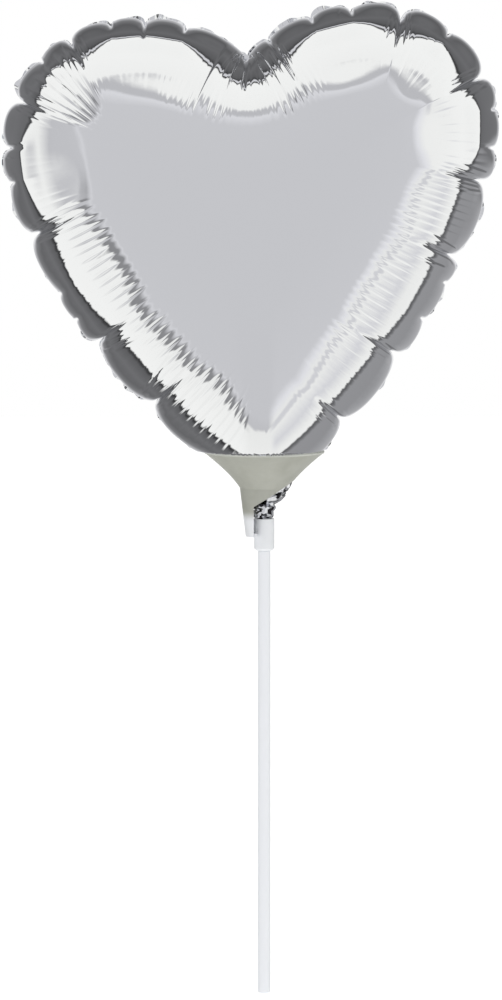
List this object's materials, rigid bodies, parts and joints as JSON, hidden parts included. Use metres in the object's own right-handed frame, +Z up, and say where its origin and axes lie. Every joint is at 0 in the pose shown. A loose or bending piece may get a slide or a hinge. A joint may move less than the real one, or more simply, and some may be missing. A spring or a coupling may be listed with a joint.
{
  "type": "heart-shaped foil balloon",
  "caption": "Air-filled heart balloon of metallised film with a crinkled seam, held by its gathered tail in a moulded cup that is pushed onto a hollow hand-held stick.",
  "frame": {"origin": "centre of the stick's bottom end", "axes": "+Z up along the stick, -Y out of the heart's front face, +X to the right of someone facing the front"},
  "size_m": [0.1778, 0.072, 0.3544],
  "materials": {
    "foil": "polished",
    "foil_tail": "gloss",
    "valve_film": "gloss",
    "cup": "satin",
    "stick": "satin"
  },
  "bodies": {
    "stick": {"stick": "stick"},
    "cup": {"cup": "cup"},
    "neck": {"foil_tail": "foil_tail"},
    "balloon": {"front_panel": "foil", "back_panel": "foil", "valve_front_film": "valve_film", "valve_back_film": "valve_film"}
  },
  "joints": [
    {"name": "socket_pull", "type": "slide", "parent": "stick", "child": "cup", "axis": [0, 0, 1], "range_m": [0, 0.01]},
    {"name": "neck_nod", "type": "hinge", "parent": "cup", "child": "neck", "pos_m": [0, 0, 0.182], "axis": [1, 0, 0], "range_deg": [-4, 4], "stiffness_Nm_per_rad": 0.05},
    {"name": "balloon_sway", "type": "hinge", "parent": "neck", "child": "balloon", "pos_m": [0, 0, 0.182], "axis": [0, 1, 0], "range_deg": [-4, 4], "stiffness_Nm_per_rad": 0.05}
  ]
}
